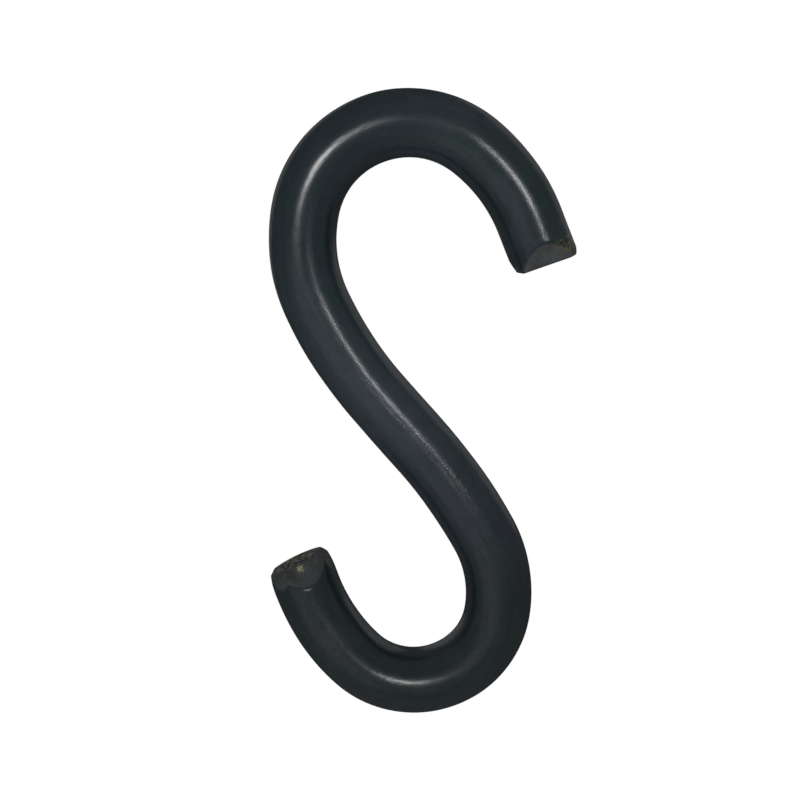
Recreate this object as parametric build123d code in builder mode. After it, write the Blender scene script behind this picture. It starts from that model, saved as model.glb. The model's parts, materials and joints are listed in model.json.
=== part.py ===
"""Bucket hook: an S bent from one length of round bar, with a cropped end at each lip."""
from build123d import *
import os

os.makedirs("parts", exist_ok=True)

# The bar
BAR_DIAMETER = 10.0

# Upper hook. Its seat is the inside of the crown, which hangs on the rail.
# Radii other than the seats are measured to the middle of the bar.
UPPER_SEAT_RADIUS = 10.5
UPPER_CROWN_LIP_ANGLE = 38.0  # bend from the top of the crown towards the lip
UPPER_CROWN_SHANK_ANGLE = 78.0  # bend from the top of the crown towards the shank
UPPER_LEAD_RADIUS = 26.5
UPPER_LEAD_ANGLE = 30.0
UPPER_LIP_LENGTH = 6.9
UPPER_SHOULDER_RADIUS = 23.0
UPPER_SHOULDER_ANGLE = 37.0
UPPER_BOW_RADIUS = 57.5
UPPER_BOW_ANGLE = 16.0

# Shank, the straight run where the bend changes side
SHANK_LENGTH = 10.5

# Lower hook. Its seat carries the bucket handle.
LOWER_BOW_RADIUS = 77.5
LOWER_BOW_ANGLE = 12.0
LOWER_SHOULDER_RADIUS = 18.5
LOWER_SHOULDER_ANGLE = 40.0
LOWER_SEAT_RADIUS = 7.75
LOWER_CROWN_ANGLE = 122.0
LOWER_LEAD_RADIUS = 29.0
LOWER_LEAD_ANGLE = 27.0
LOWER_LIP_LENGTH = 4.2

# Cropped ends. The face leans towards the inside of its hook by the skew. A blade
# leaves a bevel on the front of the bar, and the shear draws the rim over on the
# inside. Clock angles go around the bar from its front towards the inside.
UPPER_CROP_SKEW = 3.0
LOWER_CROP_SKEW = -4.7
BEVEL_DEPTH = 2.2
BEVEL_LENGTH = 3.3
UPPER_BEVEL_CLOCK = -3.0
LOWER_BEVEL_CLOCK = 16.0
DRAWN_DEPTH = 0.8
DRAWN_LENGTH = 2.2
DRAWN_CLOCK = 84.0
CROP_EDGE_RADIUS = 0.25

bar_radius = BAR_DIAMETER / 2
upper_crown_radius = UPPER_SEAT_RADIUS + bar_radius
lower_crown_radius = LOWER_SEAT_RADIUS + bar_radius
crop_allowance = bar_radius
front = Vector(0, -1, 0)


def end_cut(tip, along, skew):
    """Plane of a cropped face, through the middle of the bar."""
    return Plane(origin=tip, x_dir=front, z_dir=along.rotate(Axis.Y, skew))


def flat_cut(tip, along, clock, depth, length):
    """Plane of a flat that takes depth off the rim and runs out after length."""
    outwards = front.rotate(Axis(tip, along), clock)
    rim = tip + outwards * (bar_radius - depth)
    return Plane(origin=rim, x_dir=along.cross(outwards), z_dir=along * depth + outwards * length)


# The S lies in the XZ plane, and the origin is the centre of the upper seat.
with BuildLine(Plane.XZ) as lip_line:
    crown_to_lip = JernArc((0, upper_crown_radius), (1, 0), upper_crown_radius, -UPPER_CROWN_LIP_ANGLE)
    upper_lead = JernArc(crown_to_lip @ 1, crown_to_lip % 1, UPPER_LEAD_RADIUS, -UPPER_LEAD_ANGLE)
    upper_lip = Line(upper_lead @ 1, upper_lead @ 1 + (upper_lead % 1) * UPPER_LIP_LENGTH)
    Line(upper_lip @ 1, upper_lip @ 1 + (upper_lip % 1) * crop_allowance)

with BuildLine(Plane.XZ) as shank_line:
    crown_to_shank = JernArc((0, upper_crown_radius), (-1, 0), upper_crown_radius, UPPER_CROWN_SHANK_ANGLE)
    upper_shoulder = JernArc(
        crown_to_shank @ 1, crown_to_shank % 1, UPPER_SHOULDER_RADIUS, UPPER_SHOULDER_ANGLE
    )
    upper_bow = JernArc(upper_shoulder @ 1, upper_shoulder % 1, UPPER_BOW_RADIUS, UPPER_BOW_ANGLE)
    shank = Line(upper_bow @ 1, upper_bow @ 1 + (upper_bow % 1) * SHANK_LENGTH)
    lower_bow = JernArc(shank @ 1, shank % 1, LOWER_BOW_RADIUS, -LOWER_BOW_ANGLE)
    lower_shoulder = JernArc(lower_bow @ 1, lower_bow % 1, LOWER_SHOULDER_RADIUS, -LOWER_SHOULDER_ANGLE)
    lower_crown = JernArc(lower_shoulder @ 1, lower_shoulder % 1, lower_crown_radius, -LOWER_CROWN_ANGLE)
    lower_lead = JernArc(lower_crown @ 1, lower_crown % 1, LOWER_LEAD_RADIUS, -LOWER_LEAD_ANGLE)
    lower_lip = Line(lower_lead @ 1, lower_lead @ 1 + (lower_lead % 1) * LOWER_LIP_LENGTH)
    Line(lower_lip @ 1, lower_lip @ 1 + (lower_lip % 1) * crop_allowance)

ends = [
    (upper_lip @ 1, upper_lip % 1, UPPER_CROP_SKEW, UPPER_BEVEL_CLOCK),
    (lower_lip @ 1, lower_lip % 1, LOWER_CROP_SKEW, LOWER_BEVEL_CLOCK),
]

with BuildPart() as hook:
    # The bar, swept both ways from the top of the upper crown
    crown_section = Plane(origin=crown_to_lip @ 0, z_dir=Vector(1, 0, 0))
    for line in (lip_line, shank_line):
        with BuildSketch(crown_section):
            Circle(bar_radius)
        sweep(path=line.wires()[0])

    for tip, along, skew, bevel_clock in ends:
        with BuildSketch(end_cut(tip, along, skew)):
            Rectangle(2 * BAR_DIAMETER, 2 * BAR_DIAMETER)
        extrude(amount=2 * crop_allowance, mode=Mode.SUBTRACT)
        with BuildSketch(
            flat_cut(tip, along, bevel_clock, BEVEL_DEPTH, BEVEL_LENGTH),
            flat_cut(tip, along, DRAWN_CLOCK, DRAWN_DEPTH, DRAWN_LENGTH),
        ):
            Rectangle(2 * BAR_DIAMETER, 2 * BAR_DIAMETER)
        extrude(amount=bar_radius, mode=Mode.SUBTRACT)
        cropped_face = hook.faces().filter_by(GeomType.PLANE).sort_by_distance(tip)[0]
        fillet(cropped_face.edges(), CROP_EDGE_RADIUS)

hook.part.label = "hook"
export_step(hook.part, "parts/hook.step")
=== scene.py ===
"""Looks of the bucket hook: a bent steel bar with a blue-black oxide skin and cropped ends."""

import json
import math

import bpy
import numpy as np
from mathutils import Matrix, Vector, noise


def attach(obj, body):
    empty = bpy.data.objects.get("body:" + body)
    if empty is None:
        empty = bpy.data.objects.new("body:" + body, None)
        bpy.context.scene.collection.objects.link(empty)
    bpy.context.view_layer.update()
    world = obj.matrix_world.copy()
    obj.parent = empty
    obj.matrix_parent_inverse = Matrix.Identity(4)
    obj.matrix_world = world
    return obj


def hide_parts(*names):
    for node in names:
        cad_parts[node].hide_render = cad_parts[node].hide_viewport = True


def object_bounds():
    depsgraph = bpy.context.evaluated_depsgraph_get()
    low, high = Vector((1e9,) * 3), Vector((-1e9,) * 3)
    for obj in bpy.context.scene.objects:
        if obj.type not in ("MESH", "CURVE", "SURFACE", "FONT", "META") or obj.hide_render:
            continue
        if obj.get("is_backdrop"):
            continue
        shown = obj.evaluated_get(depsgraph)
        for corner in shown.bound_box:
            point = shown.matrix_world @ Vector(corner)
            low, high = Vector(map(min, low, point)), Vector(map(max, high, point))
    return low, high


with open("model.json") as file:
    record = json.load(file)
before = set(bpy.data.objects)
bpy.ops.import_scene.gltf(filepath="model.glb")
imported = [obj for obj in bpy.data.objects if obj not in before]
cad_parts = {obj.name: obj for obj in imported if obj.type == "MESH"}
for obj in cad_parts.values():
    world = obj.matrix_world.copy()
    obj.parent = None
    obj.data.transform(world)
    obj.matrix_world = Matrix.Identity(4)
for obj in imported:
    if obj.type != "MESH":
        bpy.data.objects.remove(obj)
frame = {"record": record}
cad_low, cad_high = (Vector(corner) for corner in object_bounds())
centre = (cad_low + cad_high) / 2
height = cad_high.z - cad_low.z
MM = 0.001

# The bar and its bends, in millimetres and degrees, from the upper lip's end to the
# lower lip's. A bend is (radius to the middle of the bar, angle), left-hand bends
# positive, and a straight run is (length,).
BAR_RADIUS = 5.0
UPPER_RUNS = [(6.9,), (26.5, 30.0)]
UPPER_CROWN = (15.5, 116.0)
LOWER_RUNS = [
    (23.0, 37.0),
    (57.5, 16.0),
    (10.5,),
    (-77.5, 12.0),
    (-18.5, 40.0),
    (-12.75, 122.0),
    (-29.0, 27.0),
    (4.2,),
]
START_HEADING = 112.0

# Cropped ends: (clock, depth, length) of each flat, with the clock from the bar's
# front towards the inside of the hook, and the lean of the face towards the inside.
UPPER_FLATS = [(-3.0, 2.2, 3.3), (84.0, 0.8, 2.2), (-62.0, 0.55, 2.3), (-95.0, 0.5, 0.9)]
LOWER_FLATS = [(12.0, 2.2, 3.5), (-42.0, 0.9, 3.0), (84.0, 0.9, 2.6), (84.0, 1.9, 1.2), (-92.0, 0.6, 2.8)]
UPPER_SKEW = 3.0
LOWER_SKEW = -4.7
FLAT_EDGE = 0.26  # softness of the edge where a flat runs out on the bar
RIM_RADIUS = 0.22
EDGE_ON = 0.05  # a flat doesn't cut where it faces the bar's surface by less than this
UNCUT = 10.0 * BAR_RADIUS

# Unevenness: (height in millimetres, waves per millimetre) of each layer
SWELL = (0.075, 0.11)
SKIN_GRAIN = (0.0050, 0.55)
FINE_GRAIN = (0.0022, 1.3)
DRAWN_LINES = (0.0030, 1.0)
LINES_AROUND = 5.2  # drawing lines are close together around the bar
LINES_ALONG = 0.07  # and change slowly along it
TEAR_SHEAR = (0.16, 1.0)
TEAR_LUMPS = (0.07, 1.9)
TEAR_GRIT = (0.035, 4.5)
TEAR_STRETCH = (0.35, 1.1, 0.35)  # across the hook, front to back and along the bar
TEAR_SINK = 0.05  # how deep a torn face lies on average
TEAR_PROUD = 0.05  # and the most it stands out
TEAR_FADE = 8.0  # how soon its relief dies out at the rim

# The mesh
AROUND = 112
BODY_STEP = 0.29
TIP_REACH = 7.0
TIP_RINGS = 64
TIP_EVEN = 0.25  # share of a tip's spacing that is even; the rest crowds to the end
TIP_CROWDING = 2.2
FACE_RINGS = 26
FACE_MIDDLE = 0.04  # innermost and outermost ring of a torn face, as shares of its radius
FACE_RIM = 0.97


def chord(distance, bend, heading):
    """Where a run has got to after a distance, from its start."""
    if bend == 0.0:
        return distance * np.array([math.cos(heading), math.sin(heading)])
    turned = heading + bend * distance
    return np.array([math.sin(turned) - math.sin(heading), math.cos(heading) - math.cos(turned)]) / bend


def centre_line(runs):
    """Length, bend, heading and start of each run, with the crown's centre at the rail seat."""
    point, heading = np.zeros(2), math.radians(START_HEADING)
    table, crown_centre = [], None
    for run in runs:
        bend = 0.0 if len(run) == 1 else 1.0 / run[0]
        length = run[0] if len(run) == 1 else abs(run[0]) * math.radians(run[1])
        if run is UPPER_CROWN:
            crown_centre = point + run[0] * np.array([-math.sin(heading), math.cos(heading)])
        table.append((length, bend, heading, point))
        point = point + chord(length, bend, heading)
        heading += bend * length
    seat = next(m for m in frame["record"]["mounts"] if m["name"] == "rail_seat")
    shift = np.array([seat["pos_m"][0], seat["pos_m"][2]]) / MM - crown_centre
    return [(length, bend, heading, start + shift) for length, bend, heading, start in table]


RUNS = centre_line(UPPER_RUNS + [UPPER_CROWN] + LOWER_RUNS)
BAR_LENGTH = sum(run[0] for run in RUNS)


def station(distance):
    """Point and heading on the middle of the bar, at a distance from the upper end."""
    left = min(max(distance, 0.0), BAR_LENGTH)
    over = distance - left
    for length, bend, heading, start in RUNS:
        if left <= length:
            break
        left -= length
    heading_here = heading + bend * left
    return start + chord(left, bend, heading) + chord(over, 0.0, heading_here), heading_here


def smooth_min(a, b, width):
    """The smaller of two lengths, rounded over where they meet."""
    overlap = np.clip(0.5 + 0.5 * (b - a) / width, 0.0, 1.0)
    return b * (1.0 - overlap) + a * overlap - width * overlap * (1.0 - overlap)


def cropped_radius(clock, depth_in, flats):
    """Radius around the bar at a distance in from its end, and how much the flats took off."""
    radius = np.full_like(clock, BAR_RADIUS)
    for flat_clock, depth, length in flats:
        reach = BAR_RADIUS - depth * (1.0 - depth_in / length)
        facing = np.cos(clock - math.radians(flat_clock))
        plane = np.where(facing > EDGE_ON, reach / np.maximum(facing, EDGE_ON), UNCUT)
        radius = smooth_min(radius, plane, FLAT_EDGE)
    taken = np.clip((BAR_RADIUS - radius) / FLAT_EDGE, 0.0, 1.0)
    inset = max(RIM_RADIUS - depth_in, 0.0)
    return radius - RIM_RADIUS + math.sqrt(RIM_RADIUS**2 - inset**2), taken


def ripple(point, rise, waves):
    """One layer of unevenness at a point, in millimetres."""
    return rise * noise.noise(point * waves)


def bar_relief(point, clock, along):
    """Unevenness of the skin: hammer-soft swells, scale grain and drawing lines."""
    grain = ripple(point, *SKIN_GRAIN) + ripple(point, *FINE_GRAIN)
    line_at = Vector((LINES_AROUND * math.cos(clock), LINES_AROUND * math.sin(clock), LINES_ALONG * along))
    return ripple(point, *SWELL) + grain + ripple(line_at, *DRAWN_LINES)


def face_relief(point):
    """Unevenness of a torn end face."""
    shear = Vector([part * stretch for part, stretch in zip(point, TEAR_STRETCH)])
    return ripple(shear, *TEAR_SHEAR) + ripple(point, *TEAR_LUMPS) + ripple(point, *TEAR_GRIT)


def ring_distances():
    """Distances of the rings from the upper end, closer together at both ends."""
    growth = np.linspace(0.0, 1.0, TIP_RINGS)
    tip = TIP_REACH * (TIP_EVEN * growth + (1.0 - TIP_EVEN) * growth**TIP_CROWDING)
    body = np.linspace(TIP_REACH, BAR_LENGTH - TIP_REACH, int((BAR_LENGTH - 2 * TIP_REACH) / BODY_STEP))
    return np.concatenate([tip[:-1], body, (BAR_LENGTH - tip)[::-1][1:]])


def build_bar():
    """The bar as one closed mesh, with what its material needs to know at each point."""
    clocks = np.linspace(0.0, 2.0 * math.pi, AROUND, endpoint=False)
    front = Vector((0.0, -1.0, 0.0))
    upper_end = (UPPER_FLATS, UPPER_SKEW, clocks)
    lower_end = (LOWER_FLATS, LOWER_SKEW, -clocks)
    points, bar_at, bare, torn = [], [], [], []

    def add_ring(distance, radius, taken, lean, tear):
        """One ring of points; lean moves each point along the bar."""
        for clock, r, cut, slide in zip(clocks, radius, taken, lean):
            (x, z), heading = station(distance + slide)
            left = Vector((-math.sin(heading), 0.0, math.cos(heading)))
            outwards = front * math.cos(clock) + left * math.sin(clock)
            middle = Vector((x, 0.0, z))
            r += (1.0 - tear) * bar_relief(middle + outwards * r, clock, distance)
            points.append((middle + outwards * r) * MM)
            bar_at.append((distance, r * math.cos(clock), r * math.sin(clock)))
            bare.append(cut)
            torn.append(tear)

    def skewed(skew, radius):
        """How far a leaning face moves each point of a ring along the bar."""
        return math.tan(math.radians(skew)) * radius * np.sin(clocks)

    def add_face(at_upper):
        """Rings of a torn face, from its middle out at the upper end and back in at the lower."""
        flats, skew, turned = upper_end if at_upper else lower_end
        end, inward = (0.0, 1.0) if at_upper else (BAR_LENGTH, -1.0)
        rim, _ = cropped_radius(turned, 0.0, flats)
        shares = np.linspace(FACE_MIDDLE, FACE_RIM, FACE_RINGS)
        for share in shares if at_upper else shares[::-1]:
            radius = rim * share
            fade = min(1.0, (1.0 - share) * TEAR_FADE)
            relief = []
            for clock, r in zip(clocks, radius):
                spot = Vector((r * math.sin(clock), r * math.cos(clock), end))
                relief.append(inward * max(face_relief(spot) + TEAR_SINK, -TEAR_PROUD) * fade)
            add_ring(end, radius, np.zeros(AROUND), skewed(skew, radius) + np.array(relief), 1.0)

    add_face(at_upper=True)
    for distance in ring_distances():
        at_upper = distance < BAR_LENGTH - distance
        flats, skew, turned = upper_end if at_upper else lower_end
        depth_in = distance if at_upper else BAR_LENGTH - distance
        radius, taken = np.full(AROUND, BAR_RADIUS), np.zeros(AROUND)
        if depth_in < TIP_REACH:
            radius, taken = cropped_radius(turned, depth_in, flats)
        fade = max(0.0, 1.0 - depth_in / TIP_REACH)
        add_ring(distance, radius, taken, fade * skewed(skew, radius), 0.0)
    add_face(at_upper=False)

    # Every face is wound to look outwards
    rings = len(points) // AROUND
    faces = []
    for ring in range(rings - 1):
        for step in range(AROUND):
            a, b = ring * AROUND + step, ring * AROUND + (step + 1) % AROUND
            faces.append((a, a + AROUND, b + AROUND, b))
    for first in (0, (rings - 1) * AROUND):
        hub = len(points)
        points.append(sum((points[first + i] for i in range(AROUND)), Vector()) / AROUND)
        bar_at.append((0.0 if first == 0 else BAR_LENGTH, 0.0, 0.0))
        bare.append(0.0)
        torn.append(1.0)
        for step in range(AROUND):
            a, b = first + step, first + (step + 1) % AROUND
            faces.append((a, b, hub) if first == 0 else (b, a, hub))

    mesh = bpy.data.meshes.new("bent_bar")
    mesh.from_pydata(points, [], faces)
    for name, kind, values in (
        ("bar_at", "FLOAT_VECTOR", bar_at),
        ("bare", "FLOAT", bare),
        ("torn", "FLOAT", torn),
    ):
        layer = mesh.attributes.new(name, kind, "POINT")
        layer.data.foreach_set("vector" if kind == "FLOAT_VECTOR" else "value", np.ravel(values))
    mesh.shade_smooth()
    mesh.update()
    bar = bpy.data.objects.new("bent_bar", mesh)
    bpy.context.scene.collection.objects.link(bar)
    return bar


class Nodes:
    """A material's node tree, with short calls for the nodes used here."""

    def __init__(self, name):
        self.material = bpy.data.materials.new(name)
        self.material.use_nodes = True
        self.tree = self.material.node_tree
        self.shader = self.tree.nodes["Principled BSDF"]
        self.out = self.tree.nodes["Material Output"]

    def link(self, source, target):
        self.tree.links.new(source, target)

    def attribute(self, name, output):
        node = self.tree.nodes.new("ShaderNodeAttribute")
        node.attribute_name = name
        return node.outputs[output]

    def stretched(self, vector, scale):
        node = self.tree.nodes.new("ShaderNodeMapping")
        node.inputs["Scale"].default_value = scale
        self.link(vector, node.inputs["Vector"])
        return node.outputs["Vector"]

    def distance(self, vector, place):
        node = self.tree.nodes.new("ShaderNodeVectorMath")
        node.operation = "DISTANCE"
        self.link(vector, node.inputs[0])
        node.inputs[1].default_value = place
        return node.outputs["Value"]

    def noise(self, vector, scale, detail=3.0, rough=0.55):
        node = self.tree.nodes.new("ShaderNodeTexNoise")
        node.inputs["Scale"].default_value = scale
        node.inputs["Detail"].default_value = detail
        node.inputs["Roughness"].default_value = rough
        self.link(vector, node.inputs["Vector"])
        return node.outputs["Fac"]

    def ramp(self, value, low, high, to_low=0.0, to_high=1.0):
        node = self.tree.nodes.new("ShaderNodeMapRange")
        node.interpolation_type = "SMOOTHSTEP"
        for name, number in (("From Min", low), ("From Max", high), ("To Min", to_low), ("To Max", to_high)):
            node.inputs[name].default_value = number
        self.link(value, node.inputs["Value"])
        return node.outputs["Result"]

    def band(self, value, rise, fall, most=1.0):
        """A share that comes in over one range of a value and goes out over another."""
        return self.maths("MULTIPLY", self.ramp(value, *rise, 0.0, most), self.ramp(value, *fall, 1.0, 0.0))

    def split(self, vector, axis):
        node = self.tree.nodes.new("ShaderNodeSeparateXYZ")
        self.link(vector, node.inputs["Vector"])
        return node.outputs[axis]

    def maths(self, operation, a, b):
        node = self.tree.nodes.new("ShaderNodeMath")
        node.operation = operation
        for socket, value in zip(node.inputs, (a, b)):
            if isinstance(value, (int, float)):
                socket.default_value = value
            else:
                self.link(value, socket)
        return node.outputs["Value"]

    def mix(self, factor, a, b):
        node = self.tree.nodes.new("ShaderNodeMix")
        node.data_type = "RGBA"
        self.link(factor, node.inputs["Factor"])
        for name, value in (("A", a), ("B", b)):
            socket = next(s for s in node.inputs if s.name == name and s.type == "RGBA")
            if isinstance(value, tuple):
                socket.default_value = (*value, 1.0)
            else:
                self.link(value, socket)
        return next(s for s in node.outputs if s.type == "RGBA")

    def bump(self, height_map, rise, normal=None):
        node = self.tree.nodes.new("ShaderNodeBump")
        node.inputs["Strength"].default_value = 1.0
        node.inputs["Distance"].default_value = rise * MM
        self.link(height_map, node.inputs["Height"])
        if normal is not None:
            self.link(normal, node.inputs["Normal"])
        return node.outputs["Normal"]


# Finishes of the bar, as linear colours
OXIDE = (0.0082, 0.0130, 0.0155)
OXIDE_BLUE = (0.0115, 0.0165, 0.0215)
OXIDE_TEAL = (0.0065, 0.0135, 0.0135)
OXIDE_BROWN = (0.0125, 0.0120, 0.0095)
# Colour of the painted sheen along the shank
PAINTED_SHEEN_BLUE = (0.0160, 0.0215, 0.0280)
OXIDE_DARK = (0.0035, 0.0065, 0.0085)
BEVEL_GREY = (0.0500, 0.0570, 0.0580)
BEVEL_PURPLE = (0.0470, 0.0470, 0.0590)
BEVEL_OLIVE = (0.0360, 0.0390, 0.0300)
TORN_GREY = (0.1500, 0.1450, 0.1300)
TORN_DARK = (0.0380, 0.0360, 0.0320)
RESIDUE_OLIVE = (0.0850, 0.0800, 0.0180)
# Colour of the painted glint at the lower lip's crop edge
PAINTED_GLINT_PALE = (0.2300, 0.2300, 0.1350)

# A glassy film of scale and oil
GLOSS = 0.037  # share of the surface under it
GLOSS_INDEX = 3.0
GLOSS_ROUGHNESS = 0.235
BEVEL_MATT = 0.85  # how much of it a bevel has lost
TORN_ROUGHER = 0.30

# Places on the bar, in millimetres. A pair is where a change starts and where it is
# complete, and distances along the bar are from the upper end.
PAINTED_SHEEN_FROM = (68.0, 88.0)  # painted sheen: a lighter blue band painted along the shank
PAINTED_SHEEN_TO = (104.0, 122.0)
DARK_FROM = (24.0, 40.0)  # the bar is darker over the left of the upper crown and the bend below it
DARK_TO = (56.0, 72.0)
DARKEST = 0.8
RESIDUE_FROM = (0.6, 1.6)  # flecks at the outer side of the upper lip
RESIDUE_TO = (2.6, 3.6)
RESIDUE_SIDE = (-4.2, -1.2)
PAINTED_GLINT_IN = 0.55  # a painted glint: a small pale spot near the crop edge of the lower lip
PAINTED_GLINT_ACROSS = (3.15, -0.3)
PAINTED_GLINT_RADIUS = 0.28

# Patterns: waves per millimetre, and how they are drawn out along the bar
PATCH_WAVES = 0.16
BLOTCH_WAVES = 0.33
STREAK_WAVES = 1.4
GRAIN_WAVES = 5.0
SPECKLE_WAVES = 1.9
TINT_WAVES = 0.40
STAIN_WAVES = 0.5
TEAR_WAVES = 1.6
FLECK_WAVES = 1.3
WEAR_WAVES = 0.8
PATCH_STRETCH = (0.5, 1.0, 1.0)
STREAK_STRETCH = (0.10, 1.0, 1.0)
SPECKLE_STRETCH = (0.55, 1.0, 1.0)

# What a pattern does: its low and high values, and what each becomes where not 0 and 1
PATCH_BLUE = (0.38, 0.62)
BLOTCH_OXIDE = (0.42, 0.60, 0.0, 0.8)
# the blotches break up the painted sheen on the shank
BLOTCH_PAINTED_SHEEN = (0.30, 0.60, 0.35, 0.9)
STREAK_BROWN = (0.55, 0.75, 0.0, 0.5)
STREAK_FILM = (0.30, 0.62, 0.85, 1.1)
SPECKLE_FILM = (0.36, 0.60, 0.9, 1.06)
GRAIN_BLUE = (0.50, 0.80, 0.0, 0.4)
# the grain roughens the edge of the painted glint
GRAIN_PAINTED_GLINT = (0.3, 0.7, -0.5, 0.5)
BARE_BEVEL = (0.1, 1.0)
TINT_PURPLE = (0.40, 0.62)
STAIN_OLIVE = (0.45, 0.68)
TEAR_GREY = (0.40, 0.60)
FLECK_RESIDUE = (0.47, 0.60)
WEAR_ROUGHNESS = (0.3, 0.7, 0.42, 0.58)

# Height of each pattern, in millimetres
STREAK_BUMP = 0.006
SPECKLE_BUMP = 0.014
GRAIN_BUMP = 0.010


def oxide_steel():
    """Blue-black scale on the bent bar, sheared grey bevels and torn brown end faces."""
    n = Nodes("oxide_steel")
    bar_at = n.attribute("bar_at", "Vector")
    bare = n.attribute("bare", "Fac")
    torn = n.attribute("torn", "Fac")
    along = n.split(bar_at, "X")

    patches = n.noise(n.stretched(bar_at, PATCH_STRETCH), PATCH_WAVES)
    blotches = n.noise(bar_at, BLOTCH_WAVES)
    streaks = n.noise(n.stretched(bar_at, STREAK_STRETCH), STREAK_WAVES, detail=4.0)
    grain = n.noise(bar_at, GRAIN_WAVES, detail=6.0, rough=0.7)
    speckle = n.noise(n.stretched(bar_at, SPECKLE_STRETCH), SPECKLE_WAVES, detail=2.0)

    # The scale
    colour = n.mix(n.ramp(patches, *PATCH_BLUE), OXIDE_TEAL, OXIDE_BLUE)
    colour = n.mix(n.ramp(blotches, *BLOTCH_OXIDE), colour, OXIDE)
    colour = n.mix(n.ramp(streaks, *STREAK_BROWN), colour, OXIDE_BROWN)
    colour = n.mix(n.ramp(grain, *GRAIN_BLUE), colour, OXIDE_BLUE)
    colour = n.mix(n.band(along, DARK_FROM, DARK_TO, DARKEST), colour, OXIDE_DARK)
    # Painted sheen: a lighter blue band along the shank, patchy with the blotches
    painted_sheen = n.maths("MULTIPLY", n.band(along, PAINTED_SHEEN_FROM, PAINTED_SHEEN_TO), n.ramp(blotches, *BLOTCH_PAINTED_SHEEN))
    colour = n.mix(painted_sheen, colour, PAINTED_SHEEN_BLUE)

    # The cropped ends
    bevel = n.mix(n.ramp(n.noise(bar_at, TINT_WAVES), *TINT_PURPLE), BEVEL_GREY, BEVEL_PURPLE)
    bevel = n.mix(n.ramp(n.noise(bar_at, STAIN_WAVES, detail=4.0), *STAIN_OLIVE), bevel, BEVEL_OLIVE)
    colour = n.mix(n.ramp(bare, *BARE_BEVEL), colour, bevel)
    tear = n.mix(n.ramp(n.noise(bar_at, TEAR_WAVES, detail=6.0), *TEAR_GREY), TORN_DARK, TORN_GREY)
    colour = n.mix(torn, colour, tear)
    # Painted glint: a small pale spot near the lower lip's crop edge
    painted_glint = n.distance(bar_at, (BAR_LENGTH - PAINTED_GLINT_IN, *PAINTED_GLINT_ACROSS))
    painted_glint = n.maths("ADD", painted_glint, n.ramp(grain, *GRAIN_PAINTED_GLINT))
    colour = n.mix(n.ramp(painted_glint, PAINTED_GLINT_RADIUS, 2 * PAINTED_GLINT_RADIUS, 1.0, 0.0), colour, PAINTED_GLINT_PALE)
    outer = n.ramp(n.split(bar_at, "Z"), *RESIDUE_SIDE, 1.0, 0.0)
    residue = n.maths("MULTIPLY", outer, n.band(along, RESIDUE_FROM, RESIDUE_TO))
    flecks = n.ramp(n.noise(bar_at, FLECK_WAVES, detail=6.0, rough=0.7), *FLECK_RESIDUE)
    colour = n.mix(n.maths("MULTIPLY", residue, flecks), colour, RESIDUE_OLIVE)
    n.link(colour, n.shader.inputs["Base Color"])

    # Roughness and the glossy film
    rough = n.ramp(n.noise(bar_at, WEAR_WAVES, detail=4.0), *WEAR_ROUGHNESS)
    rough = n.maths("ADD", rough, n.maths("MULTIPLY", torn, TORN_ROUGHER))
    n.link(rough, n.shader.inputs["Roughness"])
    worn = n.maths("MULTIPLY", n.ramp(streaks, *STREAK_FILM), n.ramp(speckle, *SPECKLE_FILM))
    matt = n.maths("SUBTRACT", 1.0, n.maths("MAXIMUM", n.maths("MULTIPLY", bare, BEVEL_MATT), torn))
    film = n.maths("MULTIPLY", n.maths("MULTIPLY", worn, matt), GLOSS)
    n.link(film, n.shader.inputs["Coat Weight"])

    normal = n.bump(streaks, STREAK_BUMP)
    normal = n.bump(speckle, SPECKLE_BUMP, normal)
    normal = n.bump(grain, GRAIN_BUMP, normal)
    n.link(normal, n.shader.inputs["Normal"])
    n.link(normal, n.shader.inputs["Coat Normal"])
    n.shader.inputs["Specular IOR Level"].default_value = 0.0
    n.shader.inputs["Coat IOR"].default_value = GLOSS_INDEX
    n.shader.inputs["Coat Roughness"].default_value = GLOSS_ROUGHNESS
    return n.material


bar = build_bar()
bar.data.materials.append(oxide_steel())
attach(bar, "root")
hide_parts("hook")

# Stage: a pale floor below the hanging hook, and a white world
FLOOR_DROP = 4.0 * height
FLOOR_HALF = 40 * height
FLOOR_COLOUR = (0.9, 0.9, 0.9, 1.0)
FLOOR_ROUGHNESS = 0.9
FLOOR_LIFT = 0.88  # white the camera adds to the floor, on which the shadow still shows
WHITE = (1.0, 1.0, 1.0, 1.0)
FILL_LEVEL = 0.14  # soft light from all round on matt surfaces


def seen_white(tree):
    """1 for the rays that show the background: the camera's, and those off gloss and glass."""
    path = tree.nodes.new("ShaderNodeLightPath")
    shown = path.outputs["Is Camera Ray"]
    for ray in ("Is Glossy Ray", "Is Transmission Ray"):
        either = tree.nodes.new("ShaderNodeMath")
        either.operation = "MAXIMUM"
        tree.links.new(shown, either.inputs[0])
        tree.links.new(path.outputs[ray], either.inputs[1])
        shown = either.outputs["Value"]
    return shown


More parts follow.
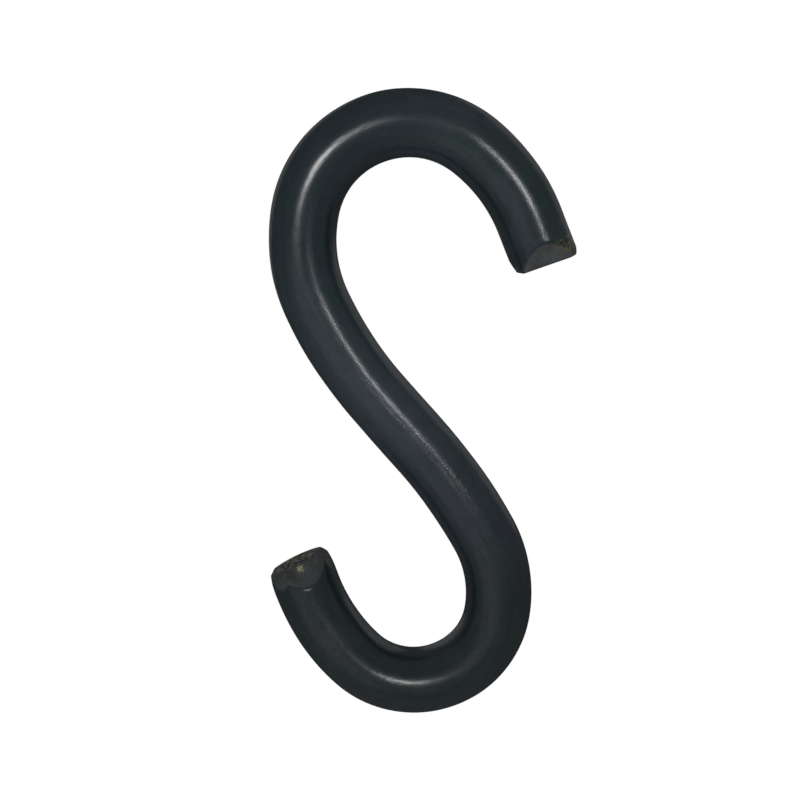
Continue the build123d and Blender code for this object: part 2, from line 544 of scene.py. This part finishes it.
def pale_floor():
    """A wide matt floor that takes the shadow and shows as white as the background."""
    z = cad_low.z - FLOOR_DROP
    corners = [(-1, -1), (1, -1), (1, 1), (-1, 1)]
    mesh = bpy.data.meshes.new("floor")
    mesh.from_pydata([(x * FLOOR_HALF, y * FLOOR_HALF, z) for x, y in corners], [], [(0, 1, 2, 3)])
    floor = bpy.data.objects.new("floor", mesh)
    bpy.context.scene.collection.objects.link(floor)
    n = Nodes("pale_floor")
    n.shader.inputs["Base Color"].default_value = FLOOR_COLOUR
    n.shader.inputs["Roughness"].default_value = FLOOR_ROUGHNESS
    n.shader.inputs["Specular IOR Level"].default_value = 0.0
    lift = n.tree.nodes.new("ShaderNodeEmission")
    n.link(n.maths("MULTIPLY", seen_white(n.tree), FLOOR_LIFT), lift.inputs["Strength"])
    both = n.tree.nodes.new("ShaderNodeAddShader")
    n.link(n.shader.outputs["BSDF"], both.inputs[0])
    n.link(lift.outputs["Emission"], both.inputs[1])
    n.link(both.outputs["Shader"], n.out.inputs["Surface"])
    mesh.materials.append(n.material)
    floor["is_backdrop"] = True


def studio_world():
    """White to the camera and to reflections, and a softer fill on matt surfaces."""
    world = bpy.data.worlds.new("studio")
    bpy.context.scene.world = world
    world.use_nodes = True
    tree = world.node_tree
    background = tree.nodes["Background"]
    background.inputs["Color"].default_value = WHITE
    strength = tree.nodes.new("ShaderNodeMapRange")
    strength.inputs["To Min"].default_value = FILL_LEVEL
    strength.inputs["To Max"].default_value = 1.0
    tree.links.new(seen_white(tree), strength.inputs["Value"])
    tree.links.new(strength.outputs["Result"], background.inputs["Strength"])


pale_floor()
studio_world()

# Lamps, with bearings in degrees. Azimuth 0 is in front, positive to the right.
SOFT_DISTANCE = 3.7 * height
SOFT_SIZE = 3.4 * height
SNOOT_DISTANCE = 12 * height
SNOOT_RADIUS = 0.15 * height
# Azimuth, elevation and power
SOFT_LAMPS = {
    "front_low_fill": (-28.0, -20.0, 0.25),
    "rear_left_fill": (-150.0, 15.0, 0.75),
    "rear_right_fill": (140.0, 25.0, 0.6),
}
# Azimuth, elevation, the middle of the lit stretch as shares of the hook's box from its
# lowest corner, the stretch's radius as a share of the height, and power
SNOOTS = {
    "right_lamp": (21.0, 10.5, (0.90, 0.5, 0.90), 0.68, 33.0),
    "left_lamp": (-16.0, 11.0, (0.16, 0.5, 0.78), 0.42, 60.0),
    "seat_lamp": (4.0, 6.0, (0.40, 0.5, 0.12), 0.50, 30.0),
}


def aimed(name, light, azimuth, elevation, distance, target):
    """Place a light at a bearing from its target."""
    holder = bpy.data.objects.new(name, light)
    az, el = math.radians(azimuth), math.radians(elevation)
    back = Vector((math.sin(az) * math.cos(el), -math.cos(az) * math.cos(el), math.sin(el)))
    holder.location = target + back * distance
    holder.rotation_euler = back.to_track_quat("Z", "Y").to_euler()
    holder.visible_camera = False
    bpy.context.scene.collection.objects.link(holder)


def soft_lamp(name, azimuth, elevation, power):
    """A broad disc lamp near the hook, for form rather than highlights."""
    light = bpy.data.lights.new(name, "AREA")
    light.shape = "DISK"
    light.size = SOFT_SIZE
    light.energy = power
    aimed(name, light, azimuth, elevation, SOFT_DISTANCE, centre)


def snoot(name, azimuth, elevation, place, reach, power):
    """A distant lamp narrowed to one stretch of the hook, for one of its highlights."""
    light = bpy.data.lights.new(name, "SPOT")
    light.shadow_soft_size = SNOOT_RADIUS
    light.spot_size = 2 * math.atan(reach * height / SNOOT_DISTANCE)
    light.spot_blend = 1.0
    light.energy = power
    spot = Vector([cad_low[i] + (cad_high[i] - cad_low[i]) * share for i, share in enumerate(place)])
    aimed(name, light, azimuth, elevation, SNOOT_DISTANCE, spot)


for lamp, setting in SOFT_LAMPS.items():
    soft_lamp(lamp, *setting)
for lamp, setting in SNOOTS.items():
    snoot(lamp, *setting)

# Camera: slightly above the hook, close enough for a little perspective
CAMERA_ELEVATION = 8.0
CAMERA_DISTANCE = 0.240
VIEW_WIDTH = 0.1197  # what the frame takes in at the hook
AIM_ASIDE = -0.00319
AIM_UP = 0.0012
SENSOR_WIDTH = 36.0
CLIP_START = 0.01


def place_camera():
    """The photograph's viewpoint."""
    data = bpy.data.cameras.new("camera")
    data.sensor_width = SENSOR_WIDTH
    data.lens = SENSOR_WIDTH * CAMERA_DISTANCE / VIEW_WIDTH
    data.clip_start = CLIP_START
    camera = bpy.data.objects.new("camera", data)
    tilt = math.radians(CAMERA_ELEVATION)
    back = Vector((0.0, -math.cos(tilt), math.sin(tilt)))
    aim = centre + Vector((AIM_ASIDE, 0.0, AIM_UP))
    aim.y = 0.0
    camera.location = aim + back * CAMERA_DISTANCE
    camera.rotation_euler = back.to_track_quat("Z", "Y").to_euler()
    bpy.context.scene.collection.objects.link(camera)
    bpy.context.scene.camera = camera


place_camera()
bpy.context.scene.view_settings.view_transform = "Standard"
